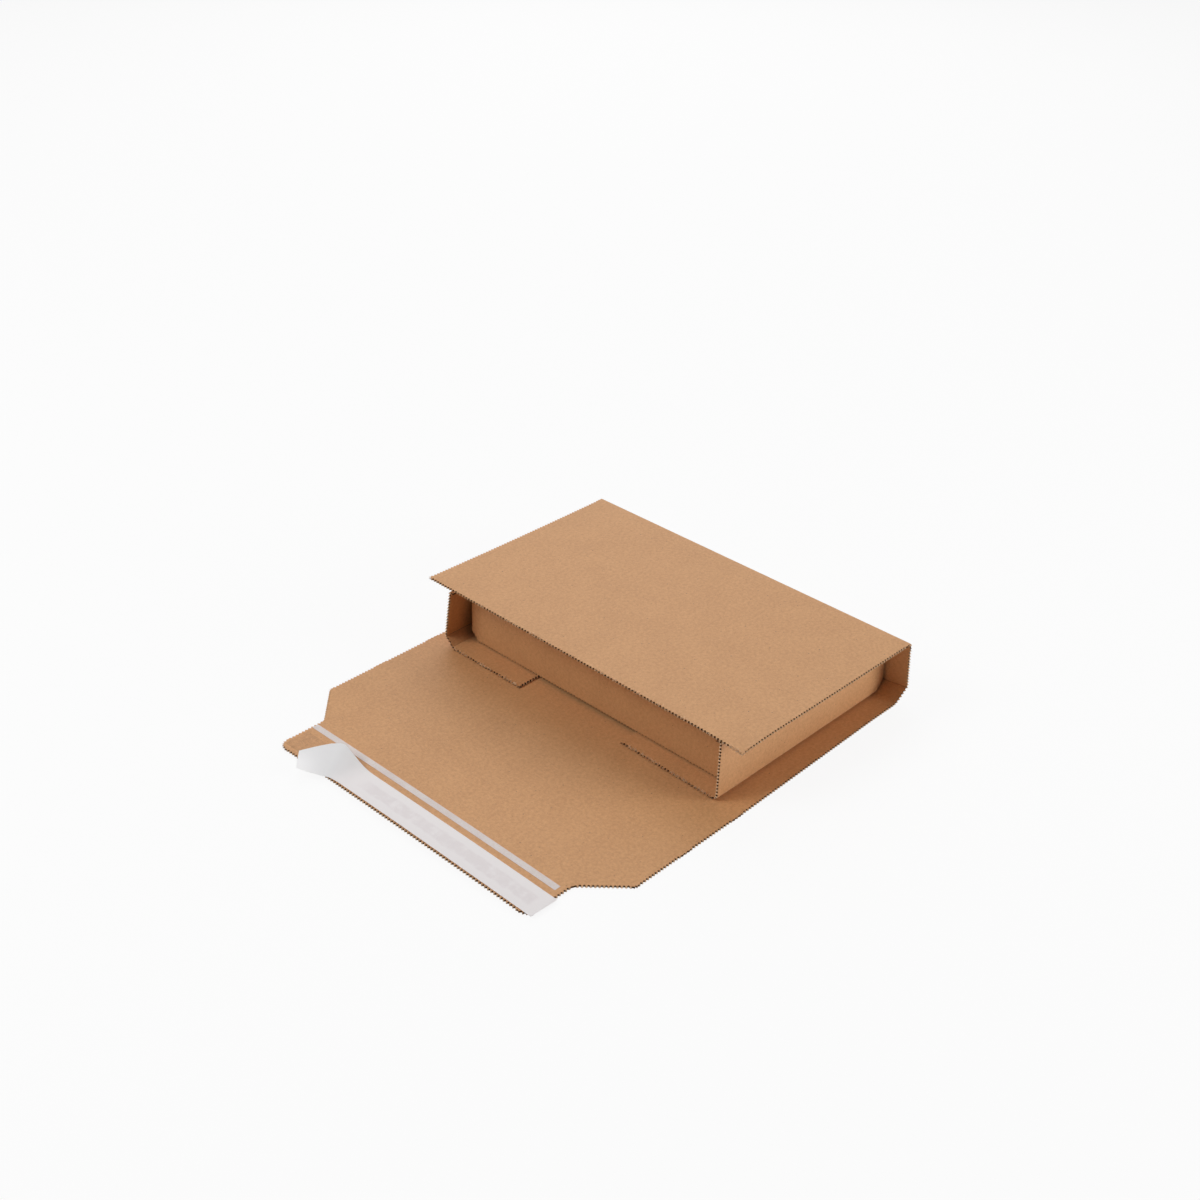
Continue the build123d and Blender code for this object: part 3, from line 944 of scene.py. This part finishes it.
class MAILER_OT_stage(bpy.types.Operator):
    """Pale floor, soft light and the camera"""

    bl_idname = "mailer.stage"
    bl_label = "Stage, light and camera"

    def execute(self, context):
        scene = context.scene
        mesh = bpy.data.meshes.new("floor")
        builder = bmesh.new()
        bmesh.ops.create_grid(
            builder, x_segments=FLOOR_SPANS, y_segments=FLOOR_SPANS, size=FLOOR_HALF)
        builder.to_mesh(mesh)
        builder.free()
        floor = bpy.data.objects.new("floor", mesh)
        scene.collection.objects.link(floor)
        mesh.materials.append(stage_material("floor_paper"))

        world = bpy.data.worlds.new("studio")
        scene.world = world
        world.use_nodes = True
        tree = Tree(world.node_tree)
        seen = tree.add("ShaderNodeLightPath")
        glow = tree.add("ShaderNodeBackground", None, {"Color": WHITE, "Strength": STUDIO_GLOW})
        white = tree.add("ShaderNodeBackground", None, {"Color": WHITE})
        mixed = tree.add("ShaderNodeMixShader", None, {0: seen, 1: glow, 2: white})
        tree.add("ShaderNodeOutputWorld", None, {"Surface": mixed})

        for name, place, diameter, power in LAMPS:
            data = bpy.data.lights.new(name, "AREA")
            data.shape = "DISK"
            data.size = diameter
            data.energy = power
            lamp = bpy.data.objects.new(name, data)
            lamp.location = place
            lamp.rotation_euler = (-Vector(place)).to_track_quat("-Z", "Y").to_euler()
            scene.collection.objects.link(lamp)

        level = cos(ELEVATION)
        forward = Vector((-sin(AZIMUTH) * level, cos(AZIMUTH) * level, -sin(ELEVATION)))
        right = Vector((cos(AZIMUTH), sin(AZIMUTH), 0))
        tilted = right * cos(ROLL) + right.cross(forward) * sin(ROLL)
        data = bpy.data.cameras.new("photo_camera")
        data.sensor_width = 36.0
        data.lens = FOCAL_LENGTH / PHOTO_WIDTH * data.sensor_width
        data.shift_x = (PHOTO_WIDTH / 2 - PHOTO_CENTRE[0]) / PHOTO_WIDTH
        data.shift_y = (PHOTO_CENTRE[1] - PHOTO_WIDTH / 2) / PHOTO_WIDTH
        camera = bpy.data.objects.new("photo_camera", data)
        turn = Matrix((tilted, tilted.cross(forward), -forward)).transposed()
        camera.matrix_world = Matrix.Translation(CAMERA_PLACE) @ turn.to_4x4()
        scene.collection.objects.link(camera)
        scene.camera = camera
        scene.view_settings.view_transform = "Standard"
        return {"FINISHED"}


def strip(low, high, half, cut_end=False):
    """Outline of a board across the whole sheet, from low to high along the path."""
    return [(low, -half, 0, True), (high, -half, 0, cut_end),
            (high, half, 0, True), (low, half, 0, False)]


class MAILER_OT_wrap(bpy.types.Operator):
    """The wrap sheet: lid, spine, base and closing flap, and pieces for its folds"""

    bl_idname = "mailer.wrap"
    bl_label = "Wrap sheet"

    def execute(self, context):
        size = sizes()
        front, rear = flap_low.y, lid_high.y
        path = FoldPath(
            "wrap_path",
            [(front, 0), (rear + size.spine_lean - size.heel_run, 0),
             (rear + size.spine_lean, size.spine_foot),
             (rear, lid_high.z), (lid_low.y - size.lid_front, lid_high.z)],
            (size.heel_radius, FOLD_RADIUS, SPINE_RADIUS),
            lambda point: (0, point.x, point.y))
        half = sheet_high.x
        reach = size.crease_reach
        flap_crease = riser_low.y - front
        riser_crease = riser_high.y - front
        spine_start, spine_end = path.bends[2]
        tab_half = half - size.shoulder
        shoulder = size.tab_depth + size.shoulder
        flap = [
            (size.tab_front, -tab_half, TAB_CORNER, True), (size.tab_depth, -tab_half, 0, True),
            (shoulder, -half, SHOULDER_CORNER, True), (flap_crease - reach, -half, 0, False),
            (flap_crease - reach, half, 0, True), (shoulder, half, SHOULDER_CORNER, True),
            (size.tab_depth, tab_half, 0, True), (size.tab_front, tab_half, TAB_CORNER, True),
        ]
        riser = strip(flap_crease + reach, riser_crease - reach, half)
        base = strip(riser_crease + reach, spine_start - reach, half)
        lid = strip(spine_end + reach, path.length, half, True)
        outlines = (
            ("wrap_flap", flap, "flap", "closing_flap", flap_bow),
            ("wrap_riser", riser, "riser", "front_riser", None),
            ("wrap_base", base, "base", "base_sheet", margin_lift),
            ("wrap_lid", lid, "lid", "lid_panel", lid_lift),
        )
        for name, corners, body, node, bow in outlines:
            part = board(name, path, corners, WRAP_FLUTES, offset=bow)
            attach(part, body)
            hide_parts(node)
        inner = Vector((0, rear - size.board, lid_high.z - size.board))
        bends = (
            ("fold_flap", flap_crease, flap_crease, "flap", "riser",
             (0, riser_low.y - reach, 0), (0, riser_low.y + reach, 0)),
            ("fold_riser", riser_crease, riser_crease, "riser", "base",
             (0, riser_high.y - reach, 0), (0, riser_high.y + reach, 0)),
            ("fold_spine", spine_start, spine_end, "base", "lid",
             inner - Vector((0, 0, reach)), inner - Vector((0, reach, 0))),
        )
        for name, low, high, near, far, start, end in bends:
            low, high = low - reach, high + reach
            steps = ceil((high - low) / FOLD_STEP)
            folds = [low + (high - low) * step / steps for step in range(1, steps)]
            part = board(name, path, strip(low, high, half), WRAP_FLUTES, folds=folds)
            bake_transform(part)
        return {"FINISHED"}


class MAILER_OT_tray(bpy.types.Operator):
    """The inner tray: top panel, two ears with their flaps, and the recessed front wall"""

    bl_idname = "mailer.tray"
    bl_label = "Inner tray"

    def execute(self, context):
        tray = tray_sizes()
        top, under = tray_high.z, tray_low.z
        right = -tray.left_top
        section = [
            (tray.left_flap_end, under), (tray.left_foot, under), (tray_low.x, tray.left_knee),
            (tray.left_top, top), (right, top), (right, tray.right_knee),
            (tray.right_foot, under), (tray.right_flap_end, under),
        ]
        path = FoldPath(
            "tray_path", section, [FOLD_RADIUS] * 6, lambda point: (point.x, 0, point.y))
        front, rear, flap_rear = -tray_low.y, -tray_high.y, -tray.flap_rear
        left_foot, left_wall = path.bends[0][1], path.bends[1][1]
        right_wall, right_foot = path.bends[4][0], path.bends[5][0]
        side = tray.wall_half - right + FOLD_RADIUS
        left_notch, right_notch = path.bends[2][1] - side, path.bends[3][0] + side
        rise, fold = tray.rear_rise, -tray.wall_fold
        left_front, right_front = front + tray.left_flap_front, front - tray.right_flap_slant
        corners = [
            (0, flap_rear, 0, True), (left_foot, flap_rear, 0, False),
            (left_foot, -tray.foot_rear, 0, True), (left_wall, rear, 0, True),
            (path.bends[3][1], rear - EAR_STEP, 0, True),
            (right_wall - EAR_RUN, -tray.ear_rear, 0, True), (right_wall - rise, rear, 0, True),
            (right_wall, -tray.knee_rear, 0, True), (right_foot, -tray.foot_rear, 0, False),
            (right_foot, flap_rear, 0, True), (path.length, flap_rear, 0, True),
            (path.length, right_front, 0, True), (right_foot, front, 0, True),
            (right_notch, front, 0, False), (right_notch, fold, 0, False),
            (left_notch, fold, 0, False), (left_notch, front, 0, True),
            (left_foot, front, 0, True), (left_foot - rise, left_front, 0, True),
            (0, left_front, 0, True),
        ]
        part = board("tray_board", path, corners, TRAY_FLUTES, inside=(flap_rear + front) / 2)
        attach(part, "lid")
        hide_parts("inner_tray")

        face, half, mitre = tray.wall_face, tray.wall_half, tray.wall_mitre
        path = FoldPath(
            "front_wall_path", [(face, tray.wall_foot), (face, top), (tray.wall_fold, top)],
            [FOLD_RADIUS], lambda point: (0, point.x, point.y))
        corners = [
            (mitre, -half, 0, True), (path.length, -half, 0, False), (path.length, half, 0, True),
            (mitre, half, 0, True), (0, half - mitre, 0, True), (0, mitre - half, 0, True),
        ]
        part = board("tray_front_wall", path, corners, WALL_FLUTES)
        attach(part, "lid")
        return {"FINISHED"}


def ribbed_tape_tree(name):
    """A closed strip of film, with threads along it."""
    tree = GeometryTree(name, Length="Float", Width="Float", Thickness="Float", Pitch="Float",
                        Height="Float", Film="Material")
    width, pitch = tree.inputs["Width"], tree.inputs["Pitch"]
    grid = {"Size X": tree.inputs["Length"], "Size Y": width, "Vertices X": TAPE_SPANS + 1,
            "Vertices Y": (width / pitch * THREAD_STEPS).math("ROUND") + 1}
    film = tree.thicken(tree.add("GeometryNodeMeshGrid", None, grid), tree.inputs["Thickness"])
    x, y, z = tree.split(tree.add("GeometryNodeInputPosition"))
    thread = (y / pitch * (2 * pi)).math("COSINE").math("MAXIMUM", 0.0)
    top = z.math("GREATER_THAN", tree.inputs["Thickness"] * 0.5)
    film = tree.put(film, tree.join(x, y, z + thread * top * tree.inputs["Height"]))
    return tree.finish(tree.paint(film, tree.inputs["Film"]))


def torn_fibre_tree(name):
    """A short stiff fibre at each point, turned and sized at random."""
    tree = GeometryTree(name, Length="Float", Thickness="Float", Seed="Int", Fibre="Material")
    cone = {"Vertices": 3, "Side Segments": 2, "Radius Top": tree.inputs["Thickness"] * 0.2,
            "Radius Bottom": tree.inputs["Thickness"] * 0.5, "Depth": tree.inputs["Length"]}
    fibre = tree.add("GeometryNodeMeshCone", {"fill_type": "NGON"}, cone)
    turn = tree.add("FunctionNodeRandomValue", {"data_type": "FLOAT_VECTOR"}, {
        "Min": tuple(-angle for angle in FIBRE_TURN), "Max": FIBRE_TURN,
        "Seed": tree.inputs["Seed"]})
    least, most = FIBRE_GROWTH
    grow = tree.add("FunctionNodeRandomValue", {"data_type": "FLOAT"},
                    {2: least, 3: most, "Seed": tree.inputs["Seed"] + 1}, output=1)
    points = tree.add("GeometryNodeMeshToPoints", None, {"Mesh": tree.geometry})
    fibres = tree.add("GeometryNodeInstanceOnPoints", None, {
        "Points": points, "Instance": fibre, "Rotation": turn, "Scale": grow})
    return tree.finish(tree.paint(fibres, tree.inputs["Fibre"]))


# Stations of the release paper, from its right end to the free one: each a point on the rear
# edge and one on the front edge, as (from the sheet's left side, from the spine fold, height)
LINER_STATIONS = (
    ((267.2, 320.95, 0), (266.6, 342.65, 0)),
    ((262.0, 320.95, 0), (262.0, 342.65, 0)),
    ((220.0, 320.95, 0), (220.0, 342.65, 0)),
    ((180.0, 320.95, 0), (180.0, 342.65, 0)),
    ((140.0, 320.95, 0), (139.0, 342.65, 0)),
    ((112.0, 320.95, 0), (108.0, 342.65, 0)),
    ((99.0, 320.95, 0.05), (93.0, 342.65, 0)),
    ((92.5, 321.0, 0.7), (87.5, 342.75, 0)),
    ((86.0, 321.1, 2.8), (84.0, 343.0, 0)),
    ((79.0, 321.6, 7.1), (81.0, 343.6, 0.05)),
    ((71.5, 322.7, 11.5), (79.0, 344.3, 0.1)),
    ((64.0, 327.4, 10.6), (77.4, 345.1, 0.2)),
    ((55.5, 334.8, 7.2), (70.6, 351.0, 2.6)),
    ((47.3, 341.8, 3.4), (63.2, 356.7, 5.6)),
)
LINER_CREASE = 11
LINER_STEPS = 6
LINER_ACROSS = 12


def smooth_points(points, steps):
    """Points on a smooth line through the given ones, steps to each of its spans."""
    points = [Vector(point) for point in points]
    ends = [points[0] * 2 - points[1]] + points + [points[-1] * 2 - points[-2]]
    line = []
    for before, start, end, after in zip(ends, ends[1:], ends[2:], ends[3:]):
        for step in range(steps):
            t = step / steps
            line.append((start * 2 + (end - before) * t
                         + (before * 2 - start * 5 + end * 4 - after) * t ** 2
                         + (start * 3 - before - end * 3 + after) * t ** 3) / 2)
    return line + [points[-1]]


def give_thickness(builder, lift):
    """Close the sheet in a builder into a slab: lift gives the way from each of its points up."""
    sheet = [(vertex, lift(vertex)) for vertex in builder.verts]
    rim = [edge for edge in builder.edges if edge.is_boundary]
    top = bmesh.ops.duplicate(builder, geom=builder.verts[:] + builder.edges[:] + builder.faces[:])
    twin = top["vert_map"]
    for edge in rim:
        one, two = edge.verts
        builder.faces.new((one, two, twin[two], twin[one]))
    for vertex, rise in sheet:
        twin[vertex].co = vertex.co + rise
    bmesh.ops.recalc_face_normals(builder, faces=builder.faces[:])
    if builder.calc_volume(signed=True) < 0:
        bmesh.ops.reverse_faces(builder, faces=builder.faces[:])


def release_paper(name):
    """The release paper: a thick sheet on the adhesive, peeled up at its left end."""
    tape = tape_sizes()
    edges = []
    for side in range(2):
        line = [station[side] for station in LINER_STATIONS]
        flat = smooth_points(line[:LINER_CREASE + 1], LINER_STEPS)
        edges.append(flat[:-1] + smooth_points(line[LINER_CREASE:], LINER_STEPS))
    builder = bmesh.new()
    layer = builder.verts.layers.float_vector.new("strip")
    low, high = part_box("adhesive_strip")
    bed = sizes().board + high.z - low.z
    rows = []
    along = 0.0
    last = edges[0][0]
    for rear, front in zip(*edges):
        along += (rear - last).length * MM
        last = rear
        row = []
        for step in range(LINER_ACROSS + 1):
            across = step / LINER_ACROSS
            spot = rear.lerp(front, across) * MM
            place = Vector((spot.x - sheet_high.x, lid_high.y - spot.y, spot.z + bed))
            ripple = prod(sin(spot.x * long + across * wide + start)
                          for long, wide, start in RIPPLES)
            place.z += tape.liner_ripple * (0.5 + 0.5 * ripple) * sin(pi * across) + STUCK_GAP * 2
            vertex = builder.verts.new(place)
            vertex[layer] = (along, across, 0)
            row.append(vertex)
        rows.append(row)
    for row, after in zip(rows, rows[1:]):
        for one, two, three, four in zip(row, row[1:], after[1:], after):
            builder.faces.new((one, four, three, two))
    builder.normal_update()
    give_thickness(builder, lambda vertex: vertex.normal * tape.liner_thickness)
    mesh = bpy.data.meshes.new(name)
    builder.to_mesh(mesh)
    builder.free()
    mesh.materials.append(release_finish("release_paper"))
    shift(mesh, flap_bow)
    return mesh


class MAILER_OT_tapes(bpy.types.Operator):
    """The tear tape, the adhesive under it in front, and the release paper peeled up at its left"""

    bl_idname = "mailer.tapes"
    bl_label = "Tapes and release paper"

    def execute(self, context):
        tape = tape_sizes()
        length = tape.tear_right - tape.tear_left
        mesh = run_tree(
            bpy.data.meshes.new("start"),
            shared(bpy.data.node_groups, "ribbed_tape", ribbed_tape_tree),
            Length=length, Width=tape.tear_width, Thickness=tape.tear_thickness,
            Pitch=tape.rib_pitch, Height=tape.rib_height,
            Film=tear_tape_finish("tear_tape_film"))
        middle = Vector((
            tape.tear_left + length / 2 - sheet_high.x,
            lid_high.y - tape.tear_rear - tape.tear_width / 2, sizes().board + STUCK_GAP * 2))
        shift(mesh, lambda place: middle)
        shift(mesh, flap_bow)
        part = piece("tear_tape", mesh)
        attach(part, "flap")
        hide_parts("rip_tape")

        part = piece("release_paper", release_paper("release_paper"), 60)
        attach(part, "flap")
        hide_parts("release_liner")

        low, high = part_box("adhesive_strip")
        mesh = bpy.data.meshes.new("clear_adhesive")
        builder = bmesh.new()
        bmesh.ops.create_grid(
            builder, x_segments=TAPE_SPANS, y_segments=ADHESIVE_SPANS, size=0.5)
        give_thickness(builder, lambda vertex: Vector((0, 0, high.z - low.z)))
        for vertex in builder.verts:
            vertex.co.x = (low.x + high.x) / 2 + vertex.co.x * (high.x - low.x)
            vertex.co.y = (low.y + high.y) / 2 + vertex.co.y * (high.y - low.y)
            vertex.co.z += sizes().board + STUCK_GAP
        builder.to_mesh(mesh)
        builder.free()
        mesh.materials.append(adhesive_finish("clear_adhesive"))
        shift(mesh, flap_bow)
        part = piece("clear_adhesive", mesh)
        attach(part, "flap")
        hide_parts("adhesive_strip")
        return {"FINISHED"}


# Tufts of torn fibres: (from the sheet's left side, spread, number) along an edge
LID_TUFTS = (
    (54, 3, 10), (84, 5, 12), (109, 6, 46), (122, 3, 16), (140, 9, 14), (168, 4, 22),
    (182, 3, 18), (202, 4, 24), (224, 4, 16), (240, 4, 14), (286, 5, 60), (150, 120, 70))
LEFT_TUFTS = ((34, 8, 30), (58, 6, 26), (82, 7, 50), (56, 36, 50))
RIGHT_TUFTS = ((196, 6, 26), (214, 8, 44), (238, 7, 50), (262, 6, 46), (230, 38, 90))


class MAILER_OT_fibres(bpy.types.Operator):
    """Fibres that the knife tore out of the front edges of the lid and of the tray's flaps"""

    bl_idname = "mailer.fibres"
    bl_label = "Torn fibres"

    def execute(self, context):
        size, tray = sizes(), tray_sizes()
        draw = random.Random(TUFT_SEED)
        lid_front = lid_low.y - size.lid_front
        rows = (
            (LID_TUFTS, lid_front, lid_high.z - size.board, lid_lift),
            (LEFT_TUFTS, tray_low.y - tray.left_flap_front, tray_low.z, None),
            (RIGHT_TUFTS, tray_low.y, tray_low.z, None),
        )
        points = []
        for tufts, front, under, offset in rows:
            for middle, spread, number in tufts:
                for _ in range(number):
                    x = middle * MM - sheet_high.x + draw.uniform(-spread, spread) * MM
                    y = front + draw.uniform(*FIBRE_START) * size.tooth_depth
                    if tufts is RIGHT_TUFTS:
                        run = (tray.right_foot - x) / (tray.right_foot - tray.right_flap_end)
                        y += tray.right_flap_slant * run
                    point = Vector((x, y, under + draw.uniform(*FIBRE_RISE) * size.board))
                    points.append(point + offset(point) if offset else point)
        spots = bpy.data.meshes.new("spots")
        spots.from_pydata(points, [], [])
        mesh = run_tree(
            spots, shared(bpy.data.node_groups, "torn_fibres", torn_fibre_tree),
            Length=FIBRE_LENGTH, Thickness=FIBRE_THICKNESS, Seed=FIBRE_SEED,
            Fibre=shared(bpy.data.materials, "torn_paper", fibre_finish))
        part = piece("torn_fibres", mesh)
        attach(part, "lid")
        return {"FINISHED"}


class MAILER_PT_pieces(bpy.types.Panel):
    """The mailer's pieces, their sizes and their colours"""

    bl_idname = "MAILER_PT_pieces"
    bl_label = "Book wrap mailer"
    bl_space_type = "VIEW_3D"
    bl_region_type = "UI"
    bl_category = "Mailer"

    def draw(self, context):
        layout = self.layout
        for operator in operators:
            layout.operator(operator.bl_idname)
        for group, title in zip(groups, ("Wrap sheet", "Inner tray", "Tapes", "Colours")):
            layout.label(text=title)
            for name in group.__annotations__:
                layout.prop(getattr(context.scene, scene_names[group]), name)


operators = (MAILER_OT_stage, MAILER_OT_wrap, MAILER_OT_tray, MAILER_OT_tapes, MAILER_OT_fibres)
scene_names = {
    MailerSizes: "mailer_sizes", TraySizes: "tray_sizes",
    TapeSizes: "tape_sizes", MailerColours: "mailer_colours"}
groups = tuple(scene_names)
classes = (*groups, *operators, MAILER_PT_pieces)


def register():
    for part in classes:
        bpy.utils.register_class(part)
    for group, name in scene_names.items():
        setattr(bpy.types.Scene, name, bpy.props.PointerProperty(type=group))


def unregister():
    for name in scene_names.values():
        delattr(bpy.types.Scene, name)
    for part in reversed(classes):
        bpy.utils.unregister_class(part)


def main():
    register()
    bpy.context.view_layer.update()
    bpy.ops.mailer.stage()
    bpy.ops.mailer.wrap()
    bpy.ops.mailer.tray()
    bpy.ops.mailer.tapes()
    bpy.ops.mailer.fibres()


if __name__ == "__main__":
    main()
